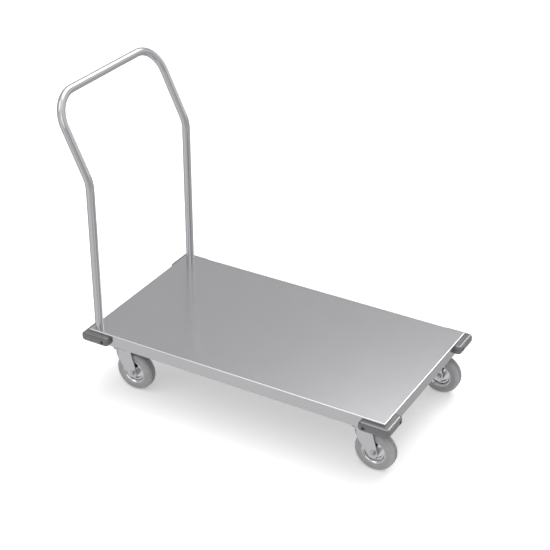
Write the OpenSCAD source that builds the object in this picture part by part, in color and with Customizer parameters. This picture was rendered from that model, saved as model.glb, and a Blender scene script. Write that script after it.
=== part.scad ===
/* [Deck] */
// Length of the deck, along the way the cart rolls
deck_len = 1000; // [800:10:1300]
// Width of the deck, across the cart
deck_wid = 550; // [460:10:750]
// Height of the folded sides of the deck
deck_side_h = 40; // [38:1:60]
// Thickness of the deck sheet
deck_sheet = 1.5; // [1:0.1:2]
// Outside radius of the folded edges of the deck
deck_bend_r = 3; // [2.5:0.1:6]
// Width of the lip that each side turns inward at its foot
deck_lip = 12; // [9:0.5:14]

/* [Under frame] */
// Width of the flat of each cross channel, which carries two casters
channel_wid = 125; // [120:1:135]
// Thickness of the sheet of the channels and the stiffener
channel_sheet = 2; // [1.5:0.1:2.5]
// Outside radius of the bends in the channels and the stiffener
channel_bend_r = 4; // [3:0.1:7]
// Depth of the stiffener along the middle of the deck
stiffener_depth = 25; // [16:1:32]
// Width of the flat of the stiffener
stiffener_wid = 60; // [40:1:100]
// Width of the two flanges along the top of the stiffener
stiffener_flange = 20; // [12:1:25]

/* [Handle] */
// Outside diameter of the handle tube
tube_d = 25; // [20:0.5:28]
// Wall of the handle tube
tube_wall = 1.5; // [1:0.1:2]
// Distance from the end of the deck to the middle of each post
post_inset_x = 23; // [21:1:40]
// Distance from the side of the deck to the middle of each post
post_inset_y = 21; // [20:1:40]
// Height above the deck at which the posts begin to lean back
lean_start_h = 464; // [350:1:600]
// Angle by which the upper part leans back
lean = 25.3; // [10:0.1:40]
// Radius of the bend into the lean, to the middle of the tube
lean_r = 104; // [60:1:150]
// Length of the straight stretch between the lean and the upper corner
lean_straight = 150; // [100:1:250]
// Radius of the two upper corners, to the middle of the tube
corner_r = 90; // [50:1:110]
// Wall of the socket under the deck that each post stands in
socket_wall = 2.2; // [1.5:0.1:3]
// Floor of the socket, which the post rests on
socket_floor = 3; // [2:0.5:4]
// Length of the threaded plug in the foot of each post
plug_len = 20; // [16:1:24]

/* [Bumpers] */
// Distance that a corner bumper stands out from the deck
bumper_out = 20; // [16:1:30]
// Height of a corner bumper
bumper_h = 27.5; // [25:0.5:31]
// Length of each arm of a bumper, from the corner of the deck
bumper_arm = 78; // [70:1:120]
// Step down from the top of the deck to the top of a bumper
bumper_drop = 8.5; // [3:0.5:9]
// Radius of a bumper's corners, seen from above
bumper_corner_r = 13; // [11:0.5:15]
// Radius along the upper and lower edges of a bumper
bumper_edge_r = 10; // [6:0.5:11]
// Radius of the two grooves along the rounded edges of a bumper
bumper_groove_r = 1.2; // [0.6:0.1:2]
// Distance from the end of an arm to its screw
bumper_screw_inset = 20; // [18:1:28]

/* [Caster head] */
// Distance from the end of the deck to the swivel axis of a caster
caster_inset_x = 90; // [85:1:140]
// Distance from the side of the deck to the swivel axis of a caster
caster_inset_y = 50; // [49:1:90]
// Length of the mounting plate, along the cart
plate_len = 105; // [100:1:115]
// Width of the mounting plate, across the cart
plate_wid = 80; // [78:1:90]
// Thickness of the mounting plate
plate_sheet = 3; // [2.5:0.5:5]
// Distance between the plate's holes along the cart
plate_hole_x = 80; // [76:1:86]
// Distance between the plate's holes across the cart
plate_hole_y = 60; // [57:1:64]
// Radius of the corners of the mounting plate
plate_corner_r = 9; // [4:1:12]
// Height between the plate and the crown of the fork, taken by the upper ball race
head_gap = 9; // [8.5:0.1:12]
// Diameter of an upper ball
ball_d = 6; // [5:0.25:6.5]
// Radius of the circle that the upper balls run on
ball_ring_r = 23.5; // [21:0.5:25]
// Diameter of a lower ball
lower_ball_d = 5; // [4:0.25:5]
// Radius of the circle that the lower balls run on
lower_ring_r = 14; // [12:0.5:15]
// Radius of the kingpin
kingpin_r = 6; // [5:0.25:7]

/* [Fork] */
// Distance from the swivel axis back to the wheel's axle
trail = 42.5; // [36:0.5:50]
// Thickness of the fork's sheet
fork_sheet = 3; // [2.5:0.1:4]
// Width between the legs of the fork
fork_inside = 43; // [42:0.5:50]
// Clearance between the tyre and the crown of the fork
crown_clearance = 15; // [14:0.5:24]
// Radius of the round crown of the fork
crown_r = 34; // [31:0.5:36]
// Depth of the crown's rim, which is drawn down all round
crown_rim = 8; // [6:0.5:10]
// Height of the fork's round nose, below the crown
nose_h = 16; // [12:0.5:20]
// Radius of the round foot of each leg, about the axle
fork_foot_r = 16; // [13:0.5:18]
// Length that the crown's flat runs back from the swivel axis
crown_back = 37; // [32:0.5:40]

/* [Wheel] */
// Radius of the wheel over its tyre
wheel_r = 62.5; // [55:0.5:75]
// Width of the tyre
tyre_wid = 37.5; // [32:0.5:40]
// Radius of the tyre's rounded shoulders
tyre_shoulder_r = 12; // [6:0.5:13]
// Radius of the seat that the tyre sits on
tyre_seat_r = 37.5; // [34:0.5:42]
// Radius of the three grooves round the tread
tread_groove_r = 1.4; // [0.5:0.1:1.6]
// Width of the key in the middle of the tyre's seat
tyre_key_wid = 10; // [6:0.5:14]
// Height of the key in the middle of the tyre's seat
tyre_key_h = 3; // [1.5:0.1:5]
// Thickness of the wheel's web at its foot, inside the rim
web_t = 6; // [4:0.5:10]
// Thickness of the wheel's web over the ring that both its sides bulge to
web_ring_t = 17; // [12:0.5:22]
// Thickness of the rim at its edge
rim_edge = 2; // [1.5:0.1:3]
// Thickness of the rim at the web
rim_root = 4; // [3.5:0.1:6]
// Radius of the wheel's hub
hub_r = 15.5; // [14.5:0.5:20]
// Outside radius of the bearing sleeve on the axle
sleeve_r = 7.5; // [6.5:0.1:8]
// Radius of one bearing roller
roller_r = 1.5; // [1:0.1:1.8]
// Length of one bearing roller
roller_len = 30; // [20:1:34]

/* [Fasteners] */
// Radius of the shank of the caster and handle bolts
bolt_r = 4; // [3.5:0.1:4]
// Width across the flats of the caster bolts' heads and nuts
bolt_flats = 13; // [12:0.5:13.5]
// Height of the caster and handle bolts' heads
bolt_head_h = 5.3; // [4:0.1:6]
// Height of the caster bolts' nuts
nut_h = 6.8; // [5:0.1:8]
// Radius of the axle bolt
axle_r = 5; // [4:0.1:5.5]
// Width across the flats of the axle bolt's head and nut
axle_flats = 17; // [15:0.5:19]
// Height of the axle bolt's head
axle_head_h = 4; // [3:0.1:8]
// Height of the axle bolt's nut
axle_nut_h = 8; // [6:0.1:10]
// Radius of the bumper screws
screw_r = 2.5; // [2:0.1:3]
// Radius of the heads of the bumper screws
screw_head_r = 4.7; // [4.2:0.1:5]
// Height of the heads of the bumper screws
screw_head_h = 2.6; // [2:0.1:3.5]

/* [Clearances] */
// Clearance round the ends of the handle where they pass the deck and sit in the sockets
post_gap = 0.3; // [0.2:0.05:0.5]
// Clearance between fixed round pieces that are pressed or bonded together
seat_gap = 0.1; // [0.05:0.01:0.15]
// Clearance between a bolt or screw and the holes it passes
bolt_gap = 0.2; // [0.1:0.05:0.4]
// Running clearance on the kingpin and on the bearing sleeve
running_gap = 0.08; // [0.04:0.01:0.1]
// Clearance of the balls in their races
ball_gap = 0.3; // [0.2:0.05:0.4]
// Gap between a channel and the lips and sockets it is welded to
weld_gap = 0.4; // [0.2:0.1:1]

/* [Hidden] */
$fn = 96;
// Length by which cuts run past the faces that they open
over = 1;

STEEL = "#b6b7b9";
TUBE = "#c4c5c7";
ZINC = "#b9babc";
BUMPER = "#6d6e71";
RUBBER = "#949597";
PLASTIC = "#c9cacc";

// Each corner: its name, and the sides it is on along and across the cart
CORNERS = [
    ["front_left", 1, 1],
    ["front_right", 1, -1],
    ["rear_left", -1, 1],
    ["rear_right", -1, -1]
];

// Heights above the floor
axle_z = wheel_r;
crown_z = 2 * wheel_r + crown_clearance;
crown_top = crown_z + fork_sheet;
ball_z = crown_top + head_gap / 2;
plate_z = crown_top + head_gap;
deck_foot_z = plate_z + plate_sheet;
deck_top_z = deck_foot_z + deck_side_h;
deck_under_z = deck_top_z - deck_sheet;

// Places along and across the cart, from the middle of the deck
caster_x = deck_len / 2 - caster_inset_x;
caster_y = deck_wid / 2 - caster_inset_y;
post_x = deck_len / 2 - post_inset_x;
post_y = deck_wid / 2 - post_inset_y;

// Upper and lower ball races: the rings nearly meet round the upper balls
race_split = 1.2;
race_ring_h = (head_gap - race_split) / 2;
race_lip = 5.5;
race_in_r = ball_ring_r - race_lip;
race_out_r = ball_ring_r + race_lip;
ball_groove_r = ball_d / 2 + ball_gap;
ball_pitch_gap = 0.6;

// The lower balls reach into the crown by a share of their size, and the cup starts below their middle
lower_groove_r = lower_ball_d / 2 + ball_gap;
lower_ball_drop_share = 0.25;
lower_ball_z = crown_z - lower_ball_drop_share * lower_ball_d;
cup_drop_share = 0.1;
cup_top_z = lower_ball_z - cup_drop_share * lower_ball_d;
cup_h = 5;
cup_r = lower_ring_r + lower_ball_d;

// Kingpin: a head under the cup, and a riveted end sunk in the plate
pin_head_lip = 4.5;
pin_head_r = kingpin_r + pin_head_lip;
pin_head_h = 4;
pin_sink = 2.5;

// Fork
fork_out = fork_inside / 2 + fork_sheet;
crown_bend_r = 5;
foot_overlap = 0.02;

// Wheel
tyre_half = tyre_wid / 2;
tread_half = tyre_half - tyre_shoulder_r;
tread_groove_share = 0.75;
tread_groove_pitch = tread_groove_share * tread_half;
flank_line_share = 0.8;
flank_line_at = tyre_seat_r + flank_line_share * (wheel_r - tyre_shoulder_r - tyre_seat_r);
flank_line_r = 0.6;
rim_inset = 0.5;
rim_half = tyre_half - rim_inset;
hub_side_gap = 0.7;
hub_half = fork_inside / 2 - hub_side_gap;
hub_draft = 1.2;
// Where the slopes of the web's ring begin and end, from the hub out to the rim
web_bend_shares = [0.4, 0.58, 0.76, 0.94];
cage_gap = 0.15;
cage_wall_share = 1.4;
cage_wall = cage_wall_share * roller_r;
cage_end = 2.5;
roller_ring_r = sleeve_r + running_gap + roller_r;
roller_pitch_share = 2.6;
roller_count = floor(2 * PI * roller_ring_r / (roller_pitch_share * roller_r));
hub_bore_r = roller_ring_r + roller_r + seat_gap;

// Handle
tube_r = tube_d / 2;
post_hole_r = tube_r + post_gap;
socket_r = post_hole_r + socket_wall;
bolt_head_gap = 2;
socket_lift = bolt_head_h + bolt_head_gap;
socket_z = deck_foot_z + socket_lift;
post_foot_z = socket_z + socket_floor;
lean_z = deck_top_z + lean_start_h;
lean_x = post_x + lean_r;
top_bar_len = 2 * (post_y - corner_r);
handle_reach = lean_x - lean_r * cos(lean) + (lean_straight + corner_r) * sin(lean) + tube_r;
handle_bolt_in = 14;
// The wall of the tube swells a little in the lean bends, and the straights reach into them
bend_swell = 0.05;
bend_overlap = 0.3;
bolt_flange_r = 8.5;
bolt_flange_h = 1.2;

// Bumpers
bumper_core = bumper_out - bumper_corner_r;
bumper_wall = 11;
bumper_top_z = deck_top_z - bumper_drop;
bumper_mid_z = bumper_top_z - bumper_h / 2;
bumper_screw_at = bumper_arm - bumper_screw_inset;
screw_well_gap = 0.8;
screw_well_r = screw_head_r + screw_well_gap;

// Threaded inserts of the bumper screws, in the sides of the deck
insert_wall = 1;
insert_body_r = screw_r + insert_wall;
insert_flange_lip = 2.2;
insert_flange_r = screw_r + insert_flange_lip;
insert_flange_h = 0.8;
insert_len = 9;

// Bolts
bolt_end = 2;

// The frame's origin is under the middle of the whole cart, handle and bumpers included
front_reach = deck_len / 2 + bumper_out;
cart_x = (handle_reach - front_reach) / 2;

CASTER_PARTS = [
    "plate", "kingpin", "balls", "ball_cup", "fork", "axle_bolt", "axle_nut",
    "bearing_sleeve", "roller_bearing", "wheel_rim", "tyre"
];

// Shapes that several pieces share

module round_rect(size_x, size_y, r) {
    square([size_x - 2 * r, size_y], center = true);
    square([size_x, size_y - 2 * r], center = true);
    for (x = [-1, 1], y = [-1, 1])
        translate([x * (size_x / 2 - r), y * (size_y / 2 - r)]) circle(r = r);
}

module along_x(length) {
    translate([-length / 2, 0, 0]) rotate([90, 0, 90]) linear_extrude(length) children();
}

module along_y(length) {
    translate([0, length / 2, 0]) rotate([90, 0, 0]) linear_extrude(length) children();
}

// A box whose long edges are all rounded, with sharp upright corners
module folded_box(size_x, size_y, size_z, r) {
    intersection() {
        along_x(size_x) round_rect(size_y, size_z, r);
        along_y(size_y) round_rect(size_x, size_z, r);
    }
}

module ring(r_out, r_in, h) {
    difference() {
        cylinder(r = r_out, h = h);
        translate([0, 0, -over]) cylinder(r = r_in, h = h + 2 * over);
    }
}

module groove(ring_r, groove_r) {
    rotate_extrude() translate([ring_r, 0]) circle(r = groove_r);
}

module hexagon(flats, h) {
    cylinder(r = flats / sqrt(3), h = h, $fn = 6);
}

// Hexagon bolt that points up from its head, with its seat at height zero
module hex_bolt(r, flats, head_h, length) {
    translate([0, 0, -head_h]) hexagon(flats, head_h);
    cylinder(r = r, h = length);
}

module hex_nut(r, flats, h) {
    difference() {
        hexagon(flats, h);
        translate([0, 0, -over]) cylinder(r = r, h = h + 2 * over);
    }
}

module at_corner(side_x, side_y) {
    translate([side_x * caster_x, side_y * caster_y, 0]) children();
}

module at_each_post() {
    for (side = [-1, 1])
        translate([-post_x, side * post_y, 0]) children();
}

module at_each_plate_hole() {
    for (x = [-1, 1], y = [-1, 1])
        translate([x * plate_hole_x / 2, y * plate_hole_y / 2, 0]) children();
}

// Both screws of the bumper at the corner on the given sides, pointing inward along +Z
module at_bumper_screws(side_x, side_y) {
    translate([side_x * (deck_len / 2 - bumper_screw_at), side_y * deck_wid / 2, bumper_mid_z])
        rotate([side_y * 90, 0, 0]) children();
    translate([side_x * deck_len / 2, side_y * (deck_wid / 2 - bumper_screw_at), bumper_mid_z])
        rotate([0, -side_x * 90, 0]) children();
}

// Deck and under frame

module deck_pan() color(STEEL) difference() {
    translate([0, 0, deck_top_z - deck_side_h / 2]) difference() {
        folded_box(deck_len, deck_wid, deck_side_h, deck_bend_r);
        folded_box(deck_len - 2 * deck_sheet, deck_wid - 2 * deck_sheet,
                   deck_side_h - 2 * deck_sheet, deck_bend_r - deck_sheet);
    }
    translate([0, 0, deck_foot_z])
        cube([deck_len - 2 * deck_lip, deck_wid - 2 * deck_lip, 2 * (deck_sheet + over)], center = true);
    at_each_post() translate([0, 0, deck_under_z - over])
        cylinder(r = post_hole_r, h = deck_sheet + 2 * over);
    for (c = CORNERS) at_bumper_screws(c[1], c[2]) translate([0, 0, -over])
        cylinder(r = insert_body_r + bolt_gap, h = deck_sheet + 2 * over);
}

// Outline that is open upward, with a flat foot and two rounded corners
module trough(width, depth, r) {
    translate([-width / 2, r]) square([width, depth - r]);
    translate([r - width / 2, 0]) square([width - 2 * r, depth]);
    for (x = [-1, 1]) translate([x * (width / 2 - r), r]) circle(r = r);
}

// Bent sheet with a flat at its foot and a wall on each side
module channel_profile(width, depth) difference() {
    trough(width, depth, channel_bend_r);
    translate([0, channel_sheet])
        trough(width - 2 * channel_sheet, depth - channel_sheet + over, channel_bend_r - channel_sheet);
}

// The same with a flange outward on each side
module hat_profile(width, depth, flange) {
    inner_r = channel_bend_r - channel_sheet;
    channel_profile(width, depth);
    for (x = [-1, 1]) {
        translate([x * (width + flange) / 2, depth - channel_sheet / 2])
            square([flange, channel_sheet], center = true);
        translate([x * (width + inner_r) / 2, depth - channel_sheet - inner_r / 2]) difference() {
            square(inner_r, center = true);
            translate([x * inner_r / 2, -inner_r / 2]) circle(r = inner_r);
        }
    }
}

// The channel by the handle is notched round the two sockets
module cross_channel(side_x) color(STEEL) difference() {
    translate([side_x * caster_x, 0, deck_foot_z])
        along_y(deck_wid - 2 * deck_lip - 2 * weld_gap)
            channel_profile(channel_wid, deck_side_h - deck_sheet);
    for (side_y = [-1, 1]) at_corner(side_x, side_y) at_each_plate_hole()
        translate([0, 0, deck_foot_z - over])
            cylinder(r = bolt_r + bolt_gap, h = channel_sheet + 2 * over);
    at_each_post() translate([0, 0, deck_foot_z - over])
        cylinder(r = socket_r + weld_gap, h = deck_side_h + over);
}

module deck_stiffener() color(STEEL)
    translate([0, 0, deck_under_z - stiffener_depth])
        along_x(2 * (caster_x - channel_wid / 2 - weld_gap))
            hat_profile(stiffener_wid, stiffener_depth, stiffener_flange);

// Handle

module tube_section(swell = 0) difference() {
    circle(r = tube_r + swell);
    circle(r = tube_r - tube_wall - swell);
}

// One section runs up both posts, round the bends and along the top bar.
// All of it is placed from the middle of the bends where the posts begin to lean.
module handle_tube() color(TUBE) {
    for (side = [-1, 1]) translate([-lean_x, side * post_y, lean_z]) {
        translate([lean_r, 0, post_foot_z - lean_z])
            linear_extrude(lean_z - post_foot_z + bend_overlap) tube_section();
        rotate([90, 0, 0]) rotate_extrude(angle = lean) translate([lean_r, 0]) tube_section(bend_swell);
        rotate([0, -lean, 0]) {
            translate([lean_r, 0, -bend_overlap])
                linear_extrude(lean_straight + bend_overlap) tube_section();
            translate([lean_r, -side * corner_r, lean_straight]) rotate([90, 0, side * 90])
                rotate_extrude(angle = 90) translate([corner_r, 0]) rotate(side * 90) tube_section();
        }
    }
    translate([-lean_x, 0, lean_z]) rotate([0, -lean, 0])
        translate([lean_r, 0, lean_straight + corner_r]) along_y(top_bar_len) tube_section();
}

module handle_plugs() color(ZINC) at_each_post() translate([0, 0, post_foot_z])
    ring(tube_r - tube_wall - seat_gap, bolt_r + seat_gap, plug_len);

module handle_sockets() color(STEEL) at_each_post() difference() {
    translate([0, 0, socket_z]) cylinder(r = socket_r, h = deck_under_z - socket_z);
    translate([0, 0, post_foot_z]) cylinder(r = post_hole_r, h = deck_under_z - post_foot_z + over);
    translate([0, 0, socket_z - over])
        cylinder(r = bolt_r + bolt_gap, h = socket_floor + 2 * over);
}

module handle_bolts() color(ZINC) at_each_post() translate([0, 0, socket_z]) {
    translate([0, 0, -bolt_flange_h]) cylinder(r = bolt_flange_r, h = bolt_flange_h);
    hex_bolt(bolt_r, bolt_flats, bolt_head_h, socket_floor + handle_bolt_in);
}

// Bumpers

// Outer edge of a bumper, from the middle of its corner radius outward
module bumper_edge() difference() {
    intersection() {
        translate([0, -bumper_h / 2]) square([bumper_corner_r, bumper_h]);
        translate([bumper_corner_r / 2 - bumper_edge_r, 0])
            round_rect(bumper_corner_r + 2 * bumper_edge_r, bumper_h, bumper_edge_r);
    }
    for (side = [-1, 1])
        translate([bumper_corner_r - bumper_edge_r, side * (bumper_h / 2 - bumper_edge_r)])
            rotate(side * 45) translate([bumper_edge_r, 0]) circle(r = bumper_groove_r);
}

// A straight stretch of the edge, facing along +X and running along +Y from the origin
module bumper_straight(length) {
    rotate([90, 0, 180]) mirror([1, 0, 0]) linear_extrude(length) bumper_edge();
}

module bumper_turn() rotate_extrude(angle = 90) bumper_edge();

// One bumper in its own corner: the deck's corner is the origin and lies toward -X and -Y
module bumper_body() {
    arm_core = bumper_arm - bumper_corner_r;
    translate([0, 0, -bumper_h / 2]) linear_extrude(bumper_h) polygon([
        [0, 0], [0, -arm_core], [bumper_core, -arm_core],
        [bumper_core, bumper_core], [-arm_core, bumper_core], [-arm_core, 0]
    ]);
    translate([bumper_core, bumper_core, 0]) bumper_turn();
    for (swap = [0, 1]) mirror([swap, -swap, 0]) {
        translate([bumper_core, -arm_core, 0]) bumper_straight(arm_core + bumper_core);
        translate([bumper_core, -arm_core, 0]) rotate([0, 0, -90]) bumper_turn();
        translate([0, -arm_core, 0]) rotate([0, 0, -90]) bumper_straight(bumper_core);
    }
}

module corner_bumper(side_x, side_y) color(BUMPER) difference() {
    translate([side_x * deck_len / 2, side_y * deck_wid / 2, bumper_mid_z])
        mirror([side_x < 0 ? 1 : 0, 0, 0]) mirror([0, side_y < 0 ? 1 : 0, 0]) bumper_body();
    at_bumper_screws(side_x, side_y) {
        translate([0, 0, -bumper_out - over])
            cylinder(r = screw_r + bolt_gap, h = bumper_out + 2 * over);
        translate([0, 0, -bumper_out - over])
            cylinder(r = screw_well_r, h = bumper_out + over - bumper_wall);
    }
}

module bumper_screws() color(ZINC) for (c = CORNERS) at_bumper_screws(c[1], c[2])
    translate([0, 0, -bumper_wall]) {
        cylinder(r = screw_r, h = bumper_wall + insert_len);
        translate([0, 0, -screw_head_h]) cylinder(r = screw_head_r, h = screw_head_h);
    }

module bumper_inserts() color(ZINC) for (c = CORNERS) at_bumper_screws(c[1], c[2]) difference() {
    union() {
        cylinder(r = insert_body_r, h = insert_len);
        translate([0, 0, deck_sheet]) cylinder(r = insert_flange_r, h = insert_flange_h);
    }
    translate([0, 0, -over]) cylinder(r = screw_r + seat_gap, h = insert_len + 2 * over);
}

// Casters, each drawn with its swivel axis on the Z axis

module plate() color(ZINC) difference() {
    union() {
        translate([0, 0, plate_z]) linear_extrude(plate_sheet)
            round_rect(plate_len, plate_wid, plate_corner_r);
        translate([0, 0, plate_z - race_ring_h]) ring(race_out_r, race_in_r, race_ring_h);
    }
    translate([0, 0, ball_z]) groove(ball_ring_r, ball_groove_r);
    translate([0, 0, plate_z - over])
        cylinder(r = kingpin_r + seat_gap, h = plate_sheet + 2 * over);
    translate([0, 0, deck_foot_z - pin_sink])
        cylinder(r1 = kingpin_r + seat_gap, r2 = kingpin_r + seat_gap + pin_sink, h = pin_sink);
    at_each_plate_hole() translate([0, 0, plate_z - over])
        cylinder(r = bolt_r + bolt_gap, h = plate_sheet + 2 * over);
}

module kingpin() color(ZINC) {
    translate([0, 0, cup_top_z - cup_h - pin_head_h]) cylinder(r = pin_head_r, h = pin_head_h);
    translate([0, 0, cup_top_z - cup_h]) cylinder(r = kingpin_r, h = deck_foot_z - cup_top_z + cup_h);
    translate([0, 0, deck_foot_z - pin_sink])
        cylinder(r1 = kingpin_r, r2 = kingpin_r + pin_sink, h = pin_sink);
}

// A full ring of balls about the kingpin
module ball_ring(ring_r, d) {
    count = floor(2 * PI * ring_r / (d + ball_pitch_gap));
    for (i = [0 : count - 1]) rotate([0, 0, i * 360 / count]) translate([ring_r, 0, 0]) sphere(d = d);
}

module balls() color(ZINC) {
    translate([0, 0, ball_z]) ball_ring(ball_ring_r, ball_d);
    translate([0, 0, lower_ball_z]) ball_ring(lower_ring_r, lower_ball_d);
}

module ball_cup() color(ZINC) difference() {
    translate([0, 0, cup_top_z - cup_h]) ring(cup_r, kingpin_r + seat_gap, cup_h);
    translate([0, 0, lower_ball_z]) groove(lower_ring_r, lower_groove_r);
}

// Point where a line from point p touches a circle of radius r about the origin
function touch(p, r, side) =
    let (a = atan2(p.y, p.x) + side * acos(r / norm(p)))
    [r * cos(a), r * sin(a)];

// Side view of a leg about the axle: a round foot under two straight slanting edges,
// which enter the foot's circle a little instead of only touching it
module fork_side() {
    top = crown_top - axle_z;
    front_top = [-trail - fork_out, crown_z - axle_z - nose_h];
    back_top = [crown_back - trail, top];
    touch_r = fork_foot_r - foot_overlap;
    polygon([
        touch(front_top, touch_r, 1), front_top, [front_top.x, top],
        back_top, touch(back_top, touch_r, -1), [0, 0]
    ]);
    circle(r = fork_foot_r);
}

// Plan of the fork: a half round nose about the swivel axis, and two legs running back
module fork_plan(half, back) {
    circle(r = half);
    translate([0, -half]) square([back, 2 * half]);
}

// Round crown with its rim drawn down
module crown() rotate_extrude() {
    square([crown_r - crown_bend_r, fork_sheet]);
    translate([crown_r - crown_bend_r, fork_sheet - crown_bend_r]) intersection() {
        difference() {
            circle(r = crown_bend_r);
            circle(r = crown_bend_r - fork_sheet);
        }
        square(crown_bend_r);
    }
    translate([crown_r - fork_sheet, fork_sheet - crown_rim])
        square([fork_sheet, crown_rim - crown_bend_r]);
}

module fork() color(ZINC) difference() {
    fork_back = trail + fork_foot_r;
    foot_z = axle_z - fork_foot_r;
    union() {
        intersection() {
            translate([0, 0, foot_z]) linear_extrude(crown_top - foot_z)
                fork_plan(fork_out, fork_back);
            translate([trail, 0, axle_z]) along_y(2 * fork_out) fork_side();
        }
        translate([0, 0, crown_z]) crown();
        translate([0, 0, crown_top]) ring(race_out_r, race_in_r, race_ring_h);
    }
    translate([0, 0, foot_z - over]) linear_extrude(crown_z - foot_z + over)
        fork_plan(fork_inside / 2, fork_back + over);
    translate([0, 0, crown_z - over])
        cylinder(r = kingpin_r + running_gap, h = fork_sheet + 2 * over);
    translate([0, 0, ball_z]) groove(ball_ring_r, ball_groove_r);
    translate([0, 0, lower_ball_z]) groove(lower_ring_r, lower_groove_r);
    on_axle() cylinder(r = axle_r + bolt_gap, h = 2 * (fork_out + over), center = true);
}

// Wheel and axle pieces are drawn about the Z axis and laid across the cart
module on_axle() translate([trail, 0, axle_z]) rotate([90, 0, 0]) children();

module axle_bolt() color(ZINC) on_axle() translate([0, 0, -fork_out])
    hex_bolt(axle_r, axle_flats, axle_head_h, 2 * fork_out + axle_nut_h + bolt_end);

module axle_nut() color(ZINC) on_axle() translate([0, 0, fork_out])
    hex_nut(axle_r + seat_gap, axle_flats, axle_nut_h);

module bearing_sleeve() color(ZINC) on_axle() translate([0, 0, -fork_inside / 2])
    ring(sleeve_r, axle_r + bolt_gap, fork_inside);

module roller_bearing() color(PLASTIC) on_axle() {
    difference() {
        translate([0, 0, -roller_len / 2 - cage_end])
            ring(roller_ring_r + cage_wall / 2, roller_ring_r - cage_wall / 2, roller_len + 2 * cage_end);
        each_roller() cylinder(r = roller_r + cage_gap, h = roller_len + 2 * cage_gap, center = true);
    }
    each_roller() cylinder(r = roller_r, h = roller_len, center = true);
}

module each_roller() for (i = [0 : roller_count - 1])
    rotate([0, 0, i * 360 / roller_count]) translate([roller_ring_r, 0, 0]) children();

function web_at(share) = hub_r + hub_draft + share * (tyre_seat_r - rim_root - hub_r - hub_draft);

// Half of the rim's section, from the bore out to the key, for one side of the wheel
rim_half_outline = [
    [hub_bore_r, hub_half],
    [hub_r, hub_half],
    [hub_r + hub_draft, web_t / 2],
    [web_at(web_bend_shares[0]), web_t / 2],
    [web_at(web_bend_shares[1]), web_ring_t / 2],
    [web_at(web_bend_shares[2]), web_ring_t / 2],
    [web_at(web_bend_shares[3]), web_t / 2],
    [tyre_seat_r - rim_root, web_t / 2],
    [tyre_seat_r - rim_edge, rim_half],
    [tyre_seat_r, rim_half],
    [tyre_seat_r, tyre_key_wid / 2],
    [tyre_seat_r + tyre_key_h, tyre_key_wid / 2]
];

module wheel_rim() color(ZINC) on_axle() rotate_extrude() polygon(concat(
    rim_half_outline,
    [for (i = [len(rim_half_outline) - 1 : -1 : 0]) [rim_half_outline[i].x, -rim_half_outline[i].y]]
));

module tyre() color(RUBBER) on_axle() rotate_extrude() difference() {
    bore_r = tyre_seat_r + seat_gap;
    union() {
        translate([bore_r, -tyre_half]) square([wheel_r - tyre_shoulder_r - bore_r, tyre_wid]);
        translate([bore_r, -tread_half]) square([wheel_r - bore_r, 2 * tread_half]);
        for (side = [-1, 1]) translate([wheel_r - tyre_shoulder_r, side * tread_half])
            circle(r = tyre_shoulder_r);
    }
    translate([0, -tyre_key_wid / 2 - seat_gap])
        square([bore_r + tyre_key_h, tyre_key_wid + 2 * seat_gap]);
    for (i = [-1 : 1]) translate([wheel_r, i * tread_groove_pitch]) circle(r = tread_groove_r);
    for (side = [-1, 1]) translate([flank_line_at, side * tyre_half]) circle(r = flank_line_r);
}

// Fixings of all four casters

module at_each_caster_bolt() for (c = CORNERS) at_corner(c[1], c[2]) at_each_plate_hole() children();

module caster_bolts() color(ZINC) at_each_caster_bolt() translate([0, 0, plate_z])
    hex_bolt(bolt_r, bolt_flats, bolt_head_h, plate_sheet + channel_sheet + nut_h + bolt_end);

module caster_nuts() color(ZINC) at_each_caster_bolt() translate([0, 0, deck_foot_z + channel_sheet])
    hex_nut(bolt_r + seat_gap, bolt_flats, nut_h);

// The whole cart

module caster(c) at_corner(c[1], c[2]) {
    plate();
    kingpin();
    balls();
    ball_cup();
    fork();
    axle_bolt();
    axle_nut();
    bearing_sleeve();
    roller_bearing();
    wheel_rim();
    tyre();
}

translate([cart_x, 0, 0]) {
    deck_pan();
    cross_channel(1);  // front_channel
    cross_channel(-1);  // rear_channel
    deck_stiffener();
    handle_tube();
    handle_plugs();
    handle_sockets();
    handle_bolts();
    for (c = CORNERS) {
        corner_bumper(c[1], c[2]);
        caster(c);
    }
    bumper_screws();
    bumper_inserts();
    caster_bolts();
    caster_nuts();
}
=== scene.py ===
"""Looks, light and camera of a platform cart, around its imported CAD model. Lengths are in metres."""

import math

import bpy
from mathutils import Matrix, Vector


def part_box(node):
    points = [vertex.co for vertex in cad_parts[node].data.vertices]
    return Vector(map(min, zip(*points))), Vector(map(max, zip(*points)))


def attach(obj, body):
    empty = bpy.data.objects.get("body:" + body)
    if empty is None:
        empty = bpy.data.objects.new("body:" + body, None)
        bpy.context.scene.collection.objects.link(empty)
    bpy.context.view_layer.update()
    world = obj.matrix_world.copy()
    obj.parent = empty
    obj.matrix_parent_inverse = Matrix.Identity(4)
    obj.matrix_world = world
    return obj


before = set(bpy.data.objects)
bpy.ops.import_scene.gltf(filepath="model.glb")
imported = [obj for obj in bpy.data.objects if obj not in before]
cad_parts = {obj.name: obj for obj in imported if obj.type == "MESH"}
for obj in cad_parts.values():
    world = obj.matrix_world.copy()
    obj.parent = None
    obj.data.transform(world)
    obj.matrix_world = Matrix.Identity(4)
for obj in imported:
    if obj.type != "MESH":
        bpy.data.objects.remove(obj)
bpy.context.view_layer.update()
scene = bpy.context.scene
scene.view_settings.view_transform = "Standard"

CORNERS = ("front_left", "front_right", "rear_left", "rear_right")
UP = Vector((0, 0, 1))

# Camera, solved from the photographed corners, posts and wheels

PHOTO_WIDTH_PX = 550
FOCAL_PX = 1431.83
SENSOR_MM = 36.0
CAMERA_AT = Vector((1.8768, -3.2093, 2.4906))
CAMERA_AZIMUTH = math.radians(-29.864)
CAMERA_ELEVATION = math.radians(29.614)
CAMERA_ROLL = math.radians(0.07)
CAMERA_SEES_TO = 100


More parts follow.
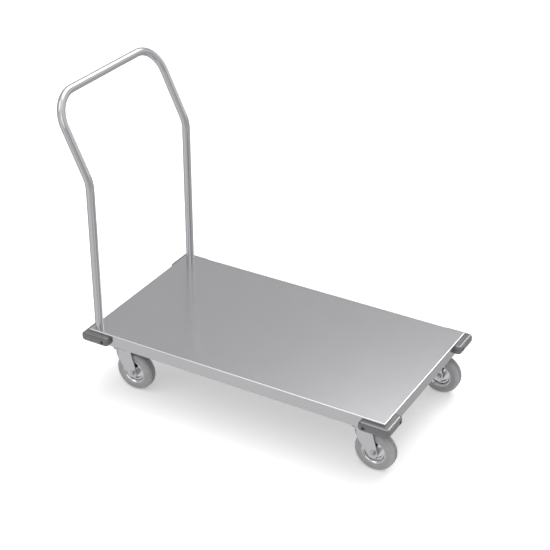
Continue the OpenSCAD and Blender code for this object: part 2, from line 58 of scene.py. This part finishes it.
def make_camera():
    ahead = Vector((
        math.cos(CAMERA_ELEVATION) * math.sin(CAMERA_AZIMUTH),
        math.cos(CAMERA_ELEVATION) * math.cos(CAMERA_AZIMUTH),
        -math.sin(CAMERA_ELEVATION),
    ))
    right = ahead.cross(UP).normalized()
    up = right.cross(ahead)
    across = math.cos(CAMERA_ROLL) * right + math.sin(CAMERA_ROLL) * up
    upward = math.cos(CAMERA_ROLL) * up - math.sin(CAMERA_ROLL) * right
    turn = Matrix((across, upward, -ahead)).transposed()
    data = bpy.data.cameras.new("camera")
    data.sensor_width = SENSOR_MM
    data.lens = SENSOR_MM * FOCAL_PX / PHOTO_WIDTH_PX
    data.clip_end = CAMERA_SEES_TO
    camera = bpy.data.objects.new("camera", data)
    camera.matrix_world = Matrix.Translation(CAMERA_AT) @ turn.to_4x4()
    scene.collection.objects.link(camera)
    scene.camera = camera


# Shader helpers


class Tree:
    """The node tree of a material or world, with short ways to add and join nodes."""

    def __init__(self, owner):
        owner.use_nodes = True
        self.tree = owner.node_tree

    def add(self, kind, **values):
        node = self.tree.nodes.new(kind)
        for key, value in values.items():
            setattr(node, key, value)
        return node

    def join(self, source, target):
        self.tree.links.new(source, target)

    def calculate(self, operation, a, b):
        """The result for two values, either of which may be a plain number."""
        node = self.add("ShaderNodeMath", operation=operation)
        for source, target in zip((a, b), node.inputs):
            if isinstance(source, (int, float)):
                target.default_value = source
            else:
                self.join(source, target)
        return node.outputs[0]


class Graph(Tree):
    """A material, with the noises, worn edges, colours and relief that the looks are made of."""

    # Rays that feel for an edge or a hollow close by
    EDGE_SAMPLES = 5
    HOLLOW_SAMPLES = 6
    # Cosine between the true normal and the one rounded over an edge: the edge counts fully at the first
    # and no more at the second
    EDGE_COSINE = 0.82
    FACE_COSINE = 0.985
    # Share of its surroundings that a place is open to: a hollow counts fully at the first and no more
    # at the second
    HOLLOW_SHARE = 0.35
    OPEN_SHARE = 0.9

    def __init__(self, name):
        self.material = bpy.data.materials.new(name)
        super().__init__(self.material)
        self.shader = self.tree.nodes["Principled BSDF"]
        self.place = None

    def coordinates(self, scale):
        """The piece's own coordinates, stretched by scale."""
        if self.place is None:
            self.place = self.add("ShaderNodeTexCoord")
        stretch = self.add("ShaderNodeMapping")
        stretch.inputs["Scale"].default_value = scale
        self.join(self.place.outputs["Object"], stretch.inputs["Vector"])
        return stretch.outputs["Vector"]

    def noise(self, scale, detail=3.0, rough=0.55):
        """Noise from 0 to 1 whose spots are one over scale in size."""
        node = self.add("ShaderNodeTexNoise")
        node.inputs["Scale"].default_value = 1.0
        node.inputs["Detail"].default_value = detail
        node.inputs["Roughness"].default_value = rough
        self.join(self.coordinates(scale), node.inputs["Vector"])
        return node.outputs["Fac"]

    def span(self, value, low, high, start=0.25, end=0.75):
        """Carries value from start..end over to low..high."""
        node = self.add("ShaderNodeMapRange")
        node.inputs["From Min"].default_value = start
        node.inputs["From Max"].default_value = end
        node.inputs["To Min"].default_value = low
        node.inputs["To Max"].default_value = high
        self.join(value, node.inputs["Value"])
        return node.outputs["Result"]

    def edges(self, radius):
        """0 on the faces and 1 along sharp edges, over about radius."""
        bevel = self.add("ShaderNodeBevel", samples=self.EDGE_SAMPLES)
        bevel.inputs["Radius"].default_value = radius
        geometry = self.add("ShaderNodeNewGeometry")
        same = self.add("ShaderNodeVectorMath", operation="DOT_PRODUCT")
        self.join(bevel.outputs["Normal"], same.inputs[0])
        self.join(geometry.outputs["Normal"], same.inputs[1])
        return self.span(same.outputs["Value"], 1, 0, self.EDGE_COSINE, self.FACE_COSINE)

    def hollows(self, reach):
        """0 on open faces and 1 in grooves and corners narrower than reach."""
        near = self.add("ShaderNodeAmbientOcclusion", samples=self.HOLLOW_SAMPLES, only_local=True)
        near.inputs["Distance"].default_value = reach
        return self.span(near.outputs["AO"], 1, 0, self.HOLLOW_SHARE, self.OPEN_SHARE)

    def tint(self, colour, value):
        """Carries the base colour that is set so far over to colour by value."""
        node = self.add("ShaderNodeMix", data_type="RGBA")
        self.join(self.shader.inputs["Base Color"].links[0].from_socket, node.inputs["A"])
        node.inputs["B"].default_value = (*colour, 1)
        self.join(value, node.inputs["Factor"])
        self.join(node.outputs["Result"], self.shader.inputs["Base Color"])

    def shade(self, dark, light, value):
        """Sets the base colour between two colours by value."""
        node = self.add("ShaderNodeMix", data_type="RGBA")
        node.inputs["A"].default_value = (*dark, 1)
        node.inputs["B"].default_value = (*light, 1)
        self.join(value, node.inputs["Factor"])
        self.join(node.outputs["Result"], self.shader.inputs["Base Color"])

    def bump(self, *layers):
        """Chains one bump for each layer, which is a height, its strength and its depth."""
        last = None
        for height, strength, depth in layers:
            node = self.add("ShaderNodeBump")
            node.inputs["Strength"].default_value = strength
            node.inputs["Distance"].default_value = depth
            self.join(height, node.inputs["Height"])
            if last is not None:
                self.join(last, node.inputs["Normal"])
            last = node.outputs["Normal"]
        self.join(last, self.shader.inputs["Normal"])

    def set(self, **values):
        for key, value in values.items():
            self.shader.inputs[key.replace("_", " ")].default_value = value


# Share of red, green and blue in the photographed greys
COOL = (1.01, 1.0, 1.032)


def grey(value):
    return tuple(value * share for share in COOL)


# Materials

# How much brighter and smoother rubbed metal is than the rest, and how much duller scuffed plastic is
EDGE_BRIGHTER = 0.16
EDGE_SMOOTHER = 0.06
EDGE_DULLER = 0.2
# Painted shade that darkens the grooves and corners of the tyres and bumpers: its grey, and the widest
# groove that it fills
GROOVE_SHADE = 0.035
GROOVE_SHADE_REACH = 0.003
# Spots of the noises along x, y and z, as a number to the metre
CLOUDS = (9, 9, 9)
SMUDGES = (31, 24, 40)
DUST = (38, 38, 38)
SCUFFS = (160, 160, 160)
HEAT = (170, 170, 170)
TARNISH = (240, 240, 240)
# How much a smudge takes from the roughness of steel at one end, and adds to it at the other
SMUDGE_ROUGH = (-0.005, 0.008)
# Depths of the fine relief
GRAIN_DEPTH = 0.00004
TARNISH_DEPTH = 0.00006
HEAT_DEPTH = 0.0003
# Colours that the heat leaves on a weld
STRAW = (0.5, 0.44, 0.36)
BLUE = (0.4, 0.42, 0.47)


def steel(name, base, rough, grain, grain_power, mottle, wear=0.0):
    """Steel with a fine grain drawn along one way, faint mottling, and edges rubbed bright over wear."""
    g = Graph(name)
    lines = g.noise(grain, detail=4.0, rough=0.7)
    clouds = g.noise(CLOUDS, detail=3.0)
    smudges = g.noise(SMUDGES, detail=5.0, rough=0.65)
    g.shade(grey(base - mottle), grey(base + mottle), g.span(clouds, 0, 1, 0.3, 0.7))
    roughness = g.calculate("ADD", g.span(lines, *rough), g.span(smudges, *SMUDGE_ROUGH, 0.35, 0.8))
    if wear:
        rubbed = g.calculate("MULTIPLY", g.edges(wear), g.span(smudges, 0.15, 1, 0.4, 0.6))
        g.tint(grey(base + EDGE_BRIGHTER), rubbed)
        roughness = g.calculate("SUBTRACT", roughness, g.calculate("MULTIPLY", rubbed, EDGE_SMOOTHER))
    g.join(roughness, g.shader.inputs["Roughness"])
    g.bump((lines, grain_power, GRAIN_DEPTH))
    g.set(Metallic=1.0)
    return g.material


def moulded(name, dark, light, rough, grain, depth, worn=None, wear=0.0, shine=0.5):
    """Moulded plastic or rubber with a fine grain, a little dust, and edges scuffed to the worn grey."""
    g = Graph(name)
    fine = g.noise((grain, grain, grain), detail=2.0)
    dust = g.noise(DUST, detail=5.0, rough=0.6)
    scuffs = g.noise(SCUFFS, detail=4.0, rough=0.7)
    g.shade(grey(dark), grey(light), g.span(dust, 0, 1, 0.35, 0.7))
    roughness = g.span(fine, *rough)
    if worn:
        rubbed = g.calculate("MULTIPLY", g.edges(wear), g.span(scuffs, 0, 1, 0.42, 0.62))
        g.tint(grey(worn), rubbed)
        roughness = g.calculate("ADD", roughness, g.calculate("MULTIPLY", rubbed, EDGE_DULLER))
        # Painted shade: the base colour is darkened in grooves and corners, where shade falls
        g.tint(grey(GROOVE_SHADE), g.calculate("MULTIPLY", g.hollows(GROOVE_SHADE_REACH), g.span(scuffs, 0.7, 1)))
    g.join(roughness, g.shader.inputs["Roughness"])
    g.bump((fine, 0.35, depth), (scuffs, 0.2, depth))
    g.set(Specular_IOR_Level=shine)
    return g.material


def weld():
    """Steel along a weld, with a straw and blue tint of the heat."""
    g = Graph("weld_steel")
    heat = g.noise(HEAT, detail=3.0)
    g.shade(STRAW, BLUE, g.span(heat, 0, 1, 0.35, 0.65))
    g.join(g.span(heat, 0.22, 0.4), g.shader.inputs["Roughness"])
    g.bump((heat, 0.4, HEAT_DEPTH))
    g.set(Metallic=1.0)
    return g.material


def fastener():
    """Bright steel of screws, bolts, pins and balls, with small spots of tarnish."""
    g = Graph("fastener_steel")
    tarnish = g.noise(TARNISH, detail=4.0, rough=0.65)
    g.shade(grey(0.54), grey(0.68), g.span(tarnish, 0, 1, 0.35, 0.65))
    g.join(g.span(tarnish, 0.14, 0.3, 0.3, 0.75), g.shader.inputs["Roughness"])
    g.bump((tarnish, 0.25, TARNISH_DEPTH))
    g.set(Metallic=1.0)
    return g.material


LOOKS = {
    "deck": steel(
        "deck_steel", base=0.575, mottle=0.006, rough=(0.15, 0.18), grain=(3.0, 1500, 1500),
        grain_power=0.06),
    "frame": steel(
        "frame_steel", base=0.58, mottle=0.01, rough=(0.26, 0.34), grain=(1500, 3.0, 1500),
        grain_power=0.25, wear=0.0012),
    "tube": steel(
        "tube_steel", base=0.59, mottle=0.006, rough=(0.12, 0.18), grain=(1400, 1400, 4.0),
        grain_power=0.2),
    "pressed": steel(
        "pressed_steel", base=0.6, mottle=0.012, rough=(0.2, 0.28), grain=(900, 900, 500),
        grain_power=0.1, wear=0.0009),
    "bright": fastener(),
    "rim": steel(
        "rim_steel", base=0.7, mottle=0.012, rough=(0.07, 0.13), grain=(500, 500, 500),
        grain_power=0.08, wear=0.0006),
    "bumper": moulded(
        "bumper_plastic", dark=0.11, light=0.13, rough=(0.1, 0.17), grain=2600, depth=0.00003,
        worn=0.17, wear=0.0007, shine=1.0),
    "tyre": moulded(
        "tyre_rubber", dark=0.32, light=0.36, rough=(0.3, 0.4), grain=1800, depth=0.00006,
        worn=0.52, wear=0.001, shine=0.7),
    "cage": moulded(
        "cage_plastic", dark=0.5, light=0.56, rough=(0.32, 0.45), grain=2200, depth=0.00005),
    "weld": weld(),
    # Near-black steel of a flat cross: painted shade standing for the screws' crossed recesses
    "recess": steel(
        "painted_recess_shade", base=0.08, mottle=0.01, rough=(0.4, 0.5), grain=(700, 700, 700),
        grain_power=0.1),
}

# Looks of the cart's large pieces, and of the pieces that each corner has. All others are bright.
NODE_LOOK = {
    "deck_pan": "deck", "front_channel": "frame", "rear_channel": "frame", "deck_stiffener": "deck",
    "handle_tube": "tube", "handle_sockets": "frame",
}
PIECE_LOOK = {
    "bumper": "bumper", "plate": "pressed", "ball_cup": "pressed", "fork": "pressed",
    "wheel_rim": "rim", "roller_bearing": "cage", "tyre": "tyre",
}


def look_of(node):
    for corner in CORNERS:
        if node.startswith(corner + "_"):
            return PIECE_LOOK.get(node[len(corner) + 1:], "bright")
    return NODE_LOOK.get(node, "bright")


def dress():
    for name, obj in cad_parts.items():
        material = LOOKS[look_of(name)]
        if not obj.material_slots:
            obj.data.materials.append(material)
        for slot in obj.material_slots:
            slot.material = material


# Small pieces that the solids leave out

# The deck's middle, half of its length and width, and the underside of its sheet
deck_low, deck_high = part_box("deck_pan")
DECK_X = (deck_low[0] + deck_high[0]) / 2
DECK_HALF_LENGTH = 0.5
DECK_HALF_WIDTH = 0.275
DECK_UNDER_Z = 0.1935
# Channels and posts as distances from the deck's middle, half widths, and the sockets' radius
CHANNEL_X = 0.41
CHANNEL_HALF = 0.0625
STIFFENER_HALF = 0.05
POST_X = -0.477
POST_Y = 0.254
SOCKET_R = 0.015


def mesh_object(name, verts, faces, look, body, smooth=True):
    mesh = bpy.data.meshes.new(name)
    mesh.from_pydata(verts, [], faces)
    mesh.update()
    if smooth:
        mesh.shade_smooth()
    piece = bpy.data.objects.new(name, mesh)
    scene.collection.objects.link(piece)
    mesh.materials.append(LOOKS[look])
    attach(piece, body)


class Beads:
    """Weld beads, each a row of overlapping ripples along a path."""

    SIDES = 8
    RIPPLE = 0.0016
    RIPPLE_STEPS = 3
    LEAST_STEPS = 4
    # Shares of the bead's radius: between two ripples, at its ends, and gained by each step from an end
    VALLEY_SHARE = 0.82
    END_SHARE = 0.35
    GAIN_SHARE = 0.5

    def __init__(self):
        self.verts, self.faces = [], []

    def run(self, path, radius, closed=False):
        first = len(self.verts)
        steps = len(path)
        for i, at in enumerate(path):
            ahead = path[(i + 1) % steps] if closed or i + 1 < steps else at
            behind = path[i - 1] if closed or i else at
            across = (ahead - behind).normalized().cross(UP).normalized()
            from_end = min(i, steps - 1 - i)
            taper = 1.0 if closed else min(1.0, self.END_SHARE + self.GAIN_SHARE * from_end)
            swell = (1 - self.VALLEY_SHARE) * abs(math.sin(math.pi * i / self.RIPPLE_STEPS))
            r = radius * taper * (self.VALLEY_SHARE + swell)
            for j in range(self.SIDES):
                turn = 2 * math.pi * j / self.SIDES
                self.verts.append(at + r * (math.cos(turn) * across + math.sin(turn) * UP))
        for i in range(steps if closed else steps - 1):
            a, b = first + i * self.SIDES, first + (i + 1) % steps * self.SIDES
            for j in range(self.SIDES):
                k = (j + 1) % self.SIDES
                self.faces.append((a + j, a + k, b + k, b + j))
        if not closed:
            last = first + (steps - 1) * self.SIDES
            self.faces.append(tuple(first + j for j in range(self.SIDES)))
            self.faces.append(tuple(last + self.SIDES - 1 - j for j in range(self.SIDES)))

    def line(self, start, end, radius):
        start, end = Vector(start), Vector(end)
        step = self.RIPPLE / self.RIPPLE_STEPS
        steps = max(self.LEAST_STEPS, round((end - start).length / step))
        self.run([start.lerp(end, i / steps) for i in range(steps + 1)], radius)

    def circle(self, centre, circle_r, radius):
        steps = self.RIPPLE_STEPS * round(2 * math.pi * circle_r / self.RIPPLE)
        turns = [2 * math.pi * i / steps for i in range(steps)]
        path = [Vector(centre) + circle_r * Vector((math.cos(turn), math.sin(turn), 0)) for turn in turns]
        self.run(path, radius, closed=True)

    def make(self, name):
        mesh_object(name, self.verts, self.faces, "weld", "cart")


# Welds under the deck: the beads' radius, how far below the sheet they run, and the length of a stitch
BEAD_R = 0.0021
BEAD_DROP = 0.0006
STITCH = 0.026
# Where the stitches are: along each wall of a channel, and every pitch along the stiffener, so many each way
CHANNEL_STITCH_Y = (-0.19, -0.115, 0.115, 0.19)
STIFFENER_PITCH = 0.1
STIFFENER_EACH_WAY = 3


def make_welds():
    """Stitches along the channels and the stiffener, and a bead round each socket."""
    z = DECK_UNDER_Z - BEAD_DROP
    channels, stiffener, sockets = Beads(), Beads(), Beads()
    for side in (-1, 1):
        for wall in (-1, 1):
            x = DECK_X + side * CHANNEL_X + wall * CHANNEL_HALF
            for y in CHANNEL_STITCH_Y:
                channels.line((x, y - STITCH / 2, z), (x, y + STITCH / 2, z), BEAD_R)
        for i in range(-STIFFENER_EACH_WAY, STIFFENER_EACH_WAY + 1):
            x = DECK_X + STIFFENER_PITCH * i
            y = side * STIFFENER_HALF
            stiffener.line((x - STITCH / 2, y, z), (x + STITCH / 2, y, z), BEAD_R)
        sockets.circle((DECK_X + POST_X, side * POST_Y, z), SOCKET_R, BEAD_R)
    channels.make("channel_welds")
    stiffener.make("stiffener_welds")
    sockets.make("socket_welds")


# Section of the flare pressed into each side of a rim, from the web out over the rolled lip: distances
# from the axle and from the wheel's middle
FLARE = (
    (0.0346, 0.0010), (0.0344, 0.0035), (0.0334, 0.0066), (0.0322, 0.0090), (0.0316, 0.0103),
    (0.0315, 0.0114), (0.0318, 0.0124), (0.0326, 0.0136), (0.0335, 0.0147), (0.0344, 0.0157),
    (0.0353, 0.0166), (0.0361, 0.0174), (0.0368, 0.0180), (0.0373, 0.0183), (0.0374, 0.0180),
)
FLARE_SIDES = 144


def make_rim_flares():
    """The flare and rolled lip inside each side of each rim."""
    for corner in CORNERS:
        low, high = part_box(corner + "_wheel_rim")
        middle = (Vector(low) + Vector(high)) / 2
        for side, name in ((-1, "right"), (1, "left")):
            verts, faces = [], []
            for i in range(FLARE_SIDES):
                turn = 2 * math.pi * i / FLARE_SIDES
                outward = Vector((math.cos(turn), 0, math.sin(turn)))
                verts += [middle + r * outward + Vector((0, side * y, 0)) for r, y in FLARE]
                here, ahead = i * len(FLARE), (i + 1) % FLARE_SIDES * len(FLARE)
                for j in range(len(FLARE) - 1):
                    face = (here + j, here + j + 1, ahead + j + 1, ahead + j)
                    faces.append(face if side > 0 else face[::-1])
            mesh_object(f"{corner}_{name}_rim_flare", verts, faces, "rim", corner + "_wheel")


# Bumper screws: how far they are from the deck's corner, how far the face of a head is out from the deck's
# side, and their height
SCREW_INSET = 0.058
SCREW_FACE_OUT = 0.01364
SCREW_Z = 0.17275
# Painted shade of the crossed recess, a flat cross: from its middle to the end of an arm, and half of an
# arm's width
RECESS_ARM = 0.0027
RECESS_HALF = 0.0006


def make_recess_shades():
    """A flat dark cross on the head of each bumper screw, painted shade that stands for its crossed recess.
    """
    arm, half = RECESS_ARM, RECESS_HALF
    outline = [(half, half), (arm, half), (arm, -half), (half, -half), (half, -arm), (-half, -arm),
               (-half, -half), (-arm, -half), (-arm, half), (-half, half), (-half, arm), (half, arm)]
    verts, faces = [], []
    for sx in (-1, 1):
        for sy in (-1, 1):
            side_x = DECK_X + sx * (DECK_HALF_LENGTH - SCREW_INSET)
            side_y = sy * (DECK_HALF_WIDTH + SCREW_FACE_OUT)
            end_x = DECK_X + sx * (DECK_HALF_LENGTH + SCREW_FACE_OUT)
            end_y = sy * (DECK_HALF_WIDTH - SCREW_INSET)
            on_side = [(side_x + a, side_y, SCREW_Z + b) for a, b in outline]
            on_end = [(end_x, end_y + a, SCREW_Z + b) for a, b in outline]
            for cross in (on_side, on_end):
                faces.append(tuple(range(len(verts), len(verts) + len(cross))))
                verts += cross
    mesh_object("bumper_screw_recess_shades", verts, faces, "recess", "cart", smooth=False)


# Stage and light

WHITE = (1, 1, 1, 1)
# Floor: half of its width, how much light it throws back, and what the camera sees on top of that
FLOOR_REACH = 30.0
FLOOR_ALBEDO = 0.82
FLOOR_LIFT = 0.32

# Light from everywhere, and the patches on top of it, which are darker than the rest where the strength is
# less than 0: azimuth from the back toward the right, elevation, reach, edge, strength
STUDIO_BASE = 0.55
PATCHES = (
    # Overhead
    (0, 90, 22, 28, 0.55),
    # Beyond the cart, mirrored in the top bar, the bumpers and the folds of the deck
    (-5, 66, 22, 10, 1.3),
    (-16, 50.8, 13, 6, 1.05),
    (15, 39, 9, 9, 1.2),
    (10, 41, 4, 5, 7.0),
    # On the left, mirrored in the deck's near fold and low in the flares of the rims
    (-137, 47, 10, 12, 0.95),
    # Round about, mirrored in the handle
    (75, 30, 16, 20, 0.25),
    (40, 13, 6, 12, 0.3),
    (12, 3, 4, 7, 1.0),
    (-45, -2, 6, 12, 0.4),
    (150, 30, 12, 14, 0.8),
    (138, 3, 18, 30, -0.27),
    # From below, mirrored in the posts, the wheels and the near side of the deck
    (175, -30, 45, 45, 0.24),
    (-55, -30, 15, 30, -0.24),
)


def make_floor():
    """A plain matt floor. Metal doesn't mirror it, but the studio's own lower half."""
    reach = FLOOR_REACH
    mesh = bpy.data.meshes.new("floor")
    mesh.from_pydata([(-reach, -reach, 0), (reach, -reach, 0), (reach, reach, 0), (-reach, reach, 0)],
                     [], [(0, 1, 2, 3)])
    floor = bpy.data.objects.new("floor", mesh)
    floor.visible_glossy = False
    scene.collection.objects.link(floor)
    g = Graph("floor")
    g.set(Base_Color=(FLOOR_ALBEDO, FLOOR_ALBEDO, FLOOR_ALBEDO, 1), Roughness=1.0, Specular_IOR_Level=0.0)
    g.set(Emission_Color=WHITE)
    path = g.add("ShaderNodeLightPath")
    lift = g.calculate("MULTIPLY", path.outputs["Is Camera Ray"], FLOOR_LIFT)
    g.join(lift, g.shader.inputs["Emission Strength"])
    mesh.materials.append(g.material)


def aim(azimuth, elevation):
    """Direction at an azimuth from the back of the studio toward the right, in degrees."""
    turn, rise = math.radians(azimuth), math.radians(elevation)
    return (math.cos(rise) * math.sin(turn), math.cos(rise) * math.cos(turn), math.sin(rise))


class Studio(Tree):
    """The studio all round: white for the camera, and soft lights for everything else."""

    def __init__(self):
        scene.world = bpy.data.worlds.new("studio")
        super().__init__(scene.world)
        self.tree.nodes.clear()
        self.place = self.add("ShaderNodeTexCoord").outputs["Generated"]

    def patch(self, azimuth, elevation, reach, edge, strength):
        """Light that is even up to reach degrees from its middle and gone edge degrees further out."""
        toward = self.add("ShaderNodeVectorMath", operation="DOT_PRODUCT")
        self.join(self.place, toward.inputs[0])
        toward.inputs[1].default_value = aim(azimuth, elevation)
        fade = self.add("ShaderNodeMapRange", interpolation_type="SMOOTHSTEP")
        self.join(toward.outputs["Value"], fade.inputs["Value"])
        fade.inputs["From Min"].default_value = math.cos(math.radians(reach + edge))
        fade.inputs["From Max"].default_value = math.cos(math.radians(reach))
        fade.inputs["To Max"].default_value = strength
        return fade.outputs["Result"]

    def background(self):
        node = self.add("ShaderNodeBackground")
        node.inputs["Color"].default_value = WHITE
        return node

    def finish(self, base, patches):
        """Joins the sum of the base and the patches as light, and plain white for the camera."""
        strength = base
        for patch in patches:
            strength = self.calculate("ADD", strength, patch)
        lit, seen = self.background(), self.background()
        self.join(strength, lit.inputs["Strength"])
        path = self.add("ShaderNodeLightPath")
        mix = self.add("ShaderNodeMixShader")
        out = self.add("ShaderNodeOutputWorld")
        self.join(path.outputs["Is Camera Ray"], mix.inputs["Fac"])
        self.join(lit.outputs[0], mix.inputs[1])
        self.join(seen.outputs[0], mix.inputs[2])
        self.join(mix.outputs[0], out.inputs["Surface"])


def make_studio():
    studio = Studio()
    studio.finish(STUDIO_BASE, [studio.patch(*patch) for patch in PATCHES])


make_camera()
dress()
make_welds()
make_rim_flares()
make_recess_shades()
make_floor()
make_studio()
